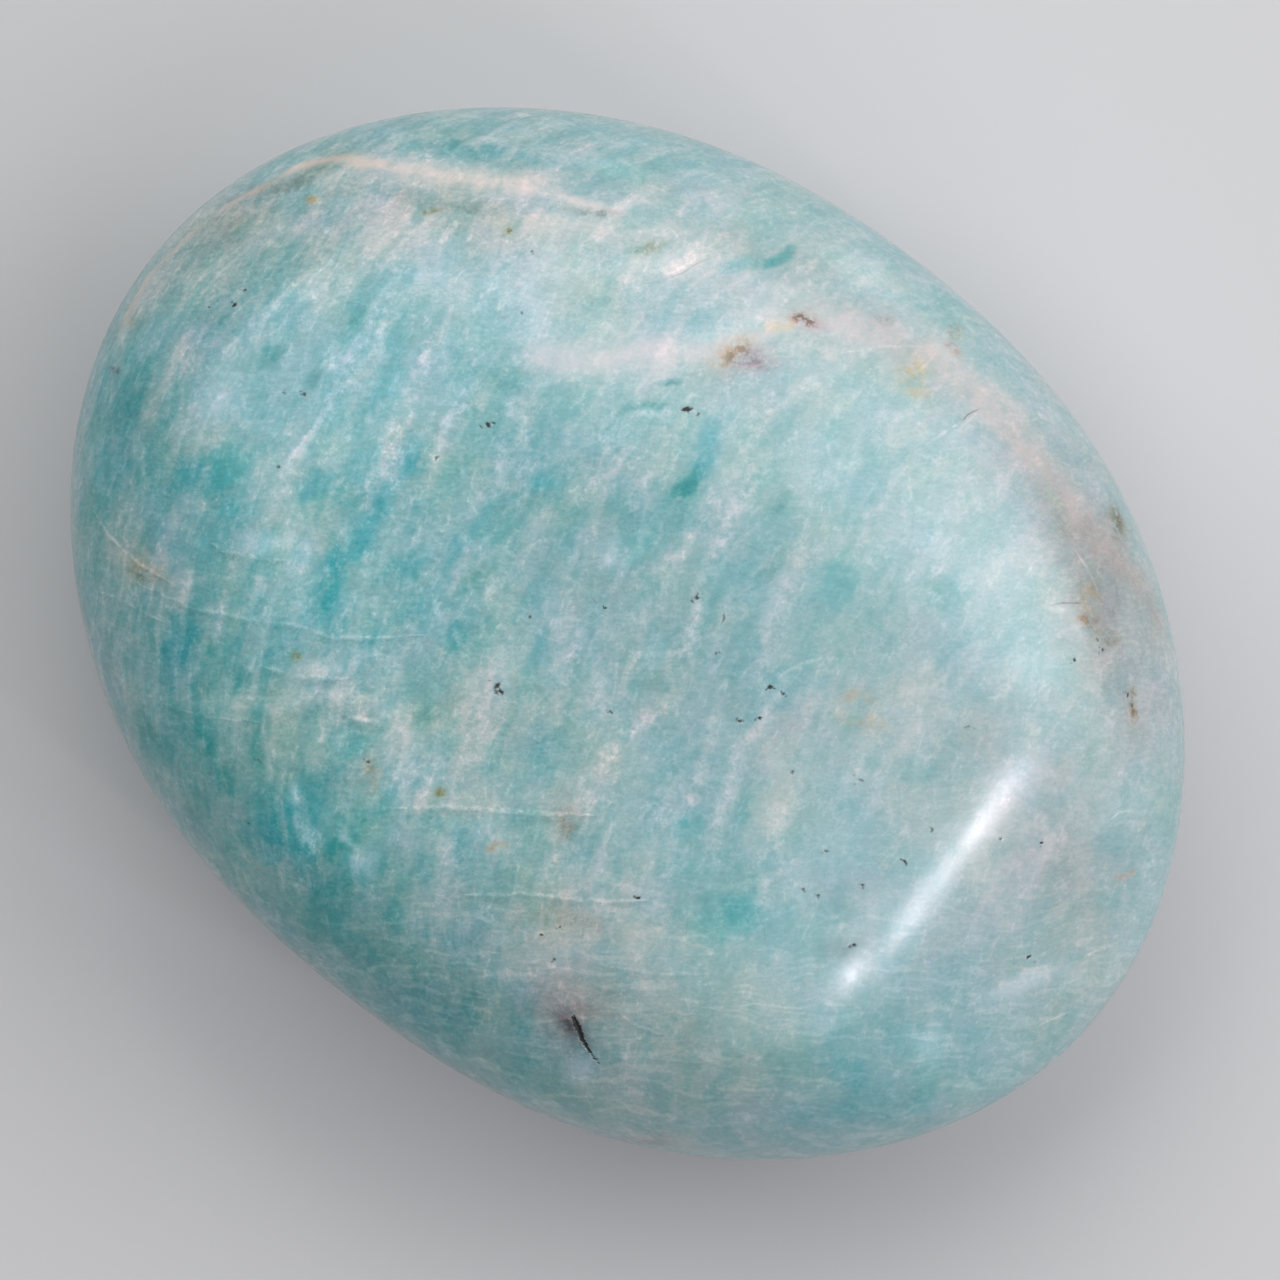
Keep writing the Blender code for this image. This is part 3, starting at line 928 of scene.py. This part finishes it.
def grained_place(graph, place, along, normal, lengths):
    """The place measured along the grain, across it and in depth, in grains of the lengths."""
    axes = (along, normal, np.cross(along, normal))
    return graph.combine(*(graph.dot(place, axis / length) for axis, length in zip(axes, lengths)))


def sheet_axes(direction, tilt):
    """Along and normal of sheets that show as streaks in a direction of the picture."""
    along = direction_in_frame(direction)
    lean = math.radians(tilt)
    sideways = direction_in_frame(direction - 90)
    return along, math.cos(lean) * sideways + math.sin(lean) * np.array([0, 0, 1])


def sheet_changes(graph, place, fuzz):
    """Sheets of pale feldspar, which show as fuzzy streaks where the surface cuts them."""
    bent = graph.added(place, graph.unrest(place, BEND, (SHEET_BEND, SHEET_BEND, SHEET_BEND)))
    upwards = graph.dot(place, PICTURE_UP)
    changes = (0, 0, 0)
    for direction, tilt, lengths, change, low_strength in SHEETS:
        cut = graph.noise(grained_place(graph, bent, *sheet_axes(direction, tilt), lengths), *SHEET_CUT)
        share = graph.step(graph.math("ADD", cut, fuzz), *SHEET_EDGE)
        strength = graph.step(upwards, *LOWER_EDGE, low_strength, 1.0)
        share = graph.times(graph.centred(share, USUAL_SHEET_SHARE), strength)
        changes = graph.added(changes, graph.scaled(change, share))
    return changes


def pool_changes(graph, ragged):
    """The blue-green pools, with sharp ragged edges."""
    inside = graph.math("ADD", graph.attribute("pool_share"), graph.centred(ragged, 0.5, POOL_RAGGED))
    share = graph.times(graph.step(inside, *POOL_EDGE), POOL_STRENGTH)
    return graph.scaled(graph.attribute("pool", "Vector"), share)


def line_share(graph, name, waver, breaks):
    """Share of a crisp line, wavering a little and broken along its length."""
    across = graph.math("ADD", graph.attribute(name + "_across"), waver)
    near = graph.step(graph.math("ABSOLUTE", across), *LINE_EDGE)
    return graph.times(near, graph.attribute(name + "_strength"), breaks)


def painted_shade_below_cleavage(graph, waver, breaks):
    """Share of the painted shade, a narrow darker strip on the lower side of a cleavage step."""
    across = graph.math("ADD", graph.attribute("cleavage_across"), waver)
    shade = graph.times(graph.step(across, *PAINTED_SHADE_RISE), graph.step(across, *PAINTED_SHADE_FADE))
    return graph.times(shade, graph.attribute("cleavage_strength"), breaks)


def texture_changes(graph, place, mottle, ragged):
    """The fine patterns that run through the whole stone."""
    streaks = sheet_axes(STREAK_DIRECTION, SHEET_TILT)
    level = sheet_axes(LEVEL_GRAIN_DIRECTION, 0.0)
    blotch = graph.noise(grained_place(graph, place, *streaks, BLOTCH_SIZE), *BLOTCH)
    filament = graph.noise(grained_place(graph, place, *streaks, FILAMENT_SIZE), *FILAMENT)
    filaments = graph.times(graph.ridges(filament), graph.step(mottle, *FILAMENT_AREAS))
    weave = grained_place(graph, place, *level, LEVEL_GRAIN_SIZE)
    texture = graph.added(
        graph.scaled(BLOTCHES, graph.centred(graph.step(blotch, *BLOTCH_EDGE), *BLOTCH_MIDDLE)),
        graph.scaled(THREADS, graph.centred(graph.ridges(ragged), *THREAD_MIDDLE)),
        graph.scaled(THREADS, graph.centred(filaments, *FILAMENT_MIDDLE)),
        graph.unrest(weave, *LEVEL_GRAIN),
        sheet_changes(graph, place, graph.centred(mottle, 0.5, SHEET_FUZZ)),
    )
    for unrest in UNREST:
        texture = graph.added(texture, graph.unrest(place, *unrest))
    return texture


def texture_strength(graph, place):
    """The texture is calmer towards one side, and inside the veins."""
    in_vein = graph.dot(graph.attribute("vein", "Vector"), CALM_IN_VEINS)
    sideways = graph.step(graph.dot(place, PICTURE_RIGHT), *CALM_SIDE, *CONTRAST_RANGE)
    return graph.times(graph.math("SUBTRACT", 1.0, in_vein), sideways)


def mark_changes(graph, mottle, ragged):
    """The marks that are drawn on the stone, and the painted shade below the cleavage steps."""
    noises = {"mottle": mottle, "ragged": ragged}
    waver = graph.centred(ragged, 0.5, LINE_WAVER)
    breaks = graph.step(mottle, *LINE_BREAKS)
    changes = [pool_changes(graph, ragged)]
    for name, (noise_name, *limits) in UNEVENNESS.items():
        strength = graph.step(noises[noise_name], *limits)
        changes.append(graph.scaled(graph.attribute(name, "Vector"), strength))
    for name, change in LINE_COLOURS.items():
        changes.append(graph.scaled(change, line_share(graph, name, waver, breaks)))
    # painted shade on the lower side of each cleavage step
    changes.append(graph.scaled(CLEAVAGE_PAINTED_SHADE, painted_shade_below_cleavage(graph, waver, breaks)))
    return graph.added(*changes)


def stone_numbers(graph, place):
    """Red share, lightness and blue share of the stone at each place."""
    mottle = graph.noise(place, *MOTTLE)
    ragged = graph.noise(place, *RAGGED)
    texture = graph.scaled(texture_changes(graph, place, mottle, ragged), texture_strength(graph, place))
    return graph.added(STONE_BASE, texture, mark_changes(graph, mottle, ragged))


def stone_colour(graph, numbers):
    """Colour from red share, lightness and blue share."""
    node = graph.tree.nodes.new("ShaderNodeSeparateXYZ")
    graph.plug(node.inputs[0], numbers)
    red_share, lightness, blue_share = node.outputs
    red_share = graph.math("MAXIMUM", red_share, LEAST_RED)
    lightness = graph.math("MAXIMUM", lightness, LEAST_LIGHT)
    green = graph.times(graph.math("MULTIPLY_ADD", red_share, GREEN_BY_RED, GREEN), lightness)
    red, blue = graph.times(green, red_share), graph.times(green, blue_share)
    return graph.combine(red, green, blue, "ShaderNodeCombineColor")


def amazonite_material():
    material = bpy.data.materials.new("polished_amazonite")
    graph = Graph(material)
    coordinates = graph.tree.nodes.new("ShaderNodeTexCoord")
    place = graph.scaled(coordinates.outputs["Object"], 1 / MM)
    cracked = graph.step(graph.attribute("crack"), *CRACK_BLACK_EDGE)
    in_pits = graph.math("MAXIMUM", graph.attribute("speck"), cracked)
    colour = stone_colour(graph, stone_numbers(graph, place))
    graph.plug(graph.shader.inputs["Base Color"], graph.mix(in_pits, colour, SPECK_BLACK))

    polish = graph.step(graph.noise(place, *POLISH), *ROUGHNESS)
    roughness = graph.math("ADD", polish, graph.times(in_pits, PIT_ROUGHNESS))
    graph.plug(graph.shader.inputs["Roughness"], roughness)
    graph.shader.inputs["IOR"].default_value = STONE_IOR

    bump = graph.tree.nodes.new("ShaderNodeBump")
    bump.inputs["Strength"].default_value = RELIEF_STRENGTH
    bump.inputs["Distance"].default_value = RELIEF_HEIGHT
    graph.plug(bump.inputs["Height"], graph.noise(place, *RELIEF))
    graph.plug(graph.shader.inputs["Normal"], bump.outputs["Normal"])
    return material


FLOOR_COLOR = (0.60, 0.60, 0.61, 1)
FLOOR_ROUGHNESS = 0.9
FLOOR_HALF_SIZE = 30


def floor_material():
    material = bpy.data.materials.new("pale_floor")
    material.use_nodes = True
    shader = material.node_tree.nodes["Principled BSDF"]
    shader.inputs["Base Color"].default_value = FLOOR_COLOR
    shader.inputs["Roughness"].default_value = FLOOR_ROUGHNESS
    return material


# The stone, the floor, the light and the camera


def placed(name, data):
    """A new object, in the scene."""
    thing = bpy.data.objects.new(name, data)
    bpy.context.scene.collection.objects.link(thing)
    return thing


def build_stone():
    stone = placed("amazonite_palm_stone", stone_mesh())
    stone.data.materials.append(amazonite_material())
    return stone


def build_floor():
    mesh = bpy.data.meshes.new("studio_floor")
    bm = bmesh.new()
    bmesh.ops.create_grid(bm, x_segments=1, y_segments=1, size=FLOOR_HALF_SIZE)
    bm.to_mesh(mesh)
    bm.free()
    mesh.materials.append(floor_material())
    return placed("studio_floor", mesh)


# Soft lights, each as: azimuth in the picture, elevation, distance, width, height, power. The
# small ones, which show as highlights on the polish, are slightly violet.
LIGHTS = {
    "key": (48.0, 40.0, 0.9, 1.2, 0.8, 4.9),
    "right": (2.0, 30.0, 0.9, 0.7, 0.5, 2.1),
    "high_left": (128.0, 52.0, 0.9, 0.9, 0.8, 4.4),
    "front": (298.0, 48.0, 0.9, 0.7, 0.6, 1.7),
    "small_window": (-31.5, 33.0, 0.7, 0.055, 0.035, 0.34),
    "small_window_tail": (-37.0, 34.8, 0.7, 0.05, 0.015, 0.05),
    "small_window_low": (-42.5, 39.0, 0.7, 0.03, 0.02, 0.26),
    "left_glint": (142.0, 27.0, 0.7, 0.05, 0.04, 0.05),
    "top_glint": (102.0, 44.0, 0.7, 0.06, 0.02, 0.04),
}
SMALL_LIGHT = 0.2  # lights of less than this width are small ones
SMALL_LIGHT_COLOR = (1.0, 0.88, 0.98)
WORLD_COLOR = (0.75, 0.80, 0.85, 1)
WORLD_STRENGTH = 0.10


def build_light(name, azimuth, elevation, distance, width, height, power):
    light = bpy.data.lights.new(name, "AREA")
    light.shape = "RECTANGLE"
    light.size = width
    light.size_y = height
    light.energy = power
    if width < SMALL_LIGHT:
        light.color = SMALL_LIGHT_COLOR
    lamp = placed(name, light)
    lamp.visible_camera = False
    rise = math.radians(elevation)
    towards = math.cos(rise) * direction_in_frame(azimuth) + np.array([0, 0, math.sin(rise)])
    lamp.location = Vector(towards * distance) + Vector((0, 0, THICKNESS / 2))
    lamp.rotation_euler = Vector(towards).to_track_quat("Z", "Y").to_euler()


def build_world():
    world = bpy.data.worlds.new("soft_studio")
    world.use_nodes = True
    background = world.node_tree.nodes["Background"]
    background.inputs["Color"].default_value = WORLD_COLOR
    background.inputs["Strength"].default_value = WORLD_STRENGTH
    bpy.context.scene.world = world


def build_camera():
    camera = bpy.data.cameras.new("camera_from_above")
    camera.lens = camera.sensor_width * CAMERA_HEIGHT / (PICTURE * PIXEL)
    eye = placed("camera_from_above", camera)
    eye.location = camera_place()
    eye.rotation_euler = (0, 0, TURN)
    bpy.context.scene.camera = eye


stone = build_stone()
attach(stone, "root")
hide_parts("amazonite_stone")
build_floor()
for light_name, light_values in LIGHTS.items():
    build_light(light_name, *light_values)
build_world()
build_camera()
bpy.context.scene.view_settings.view_transform = "Standard"
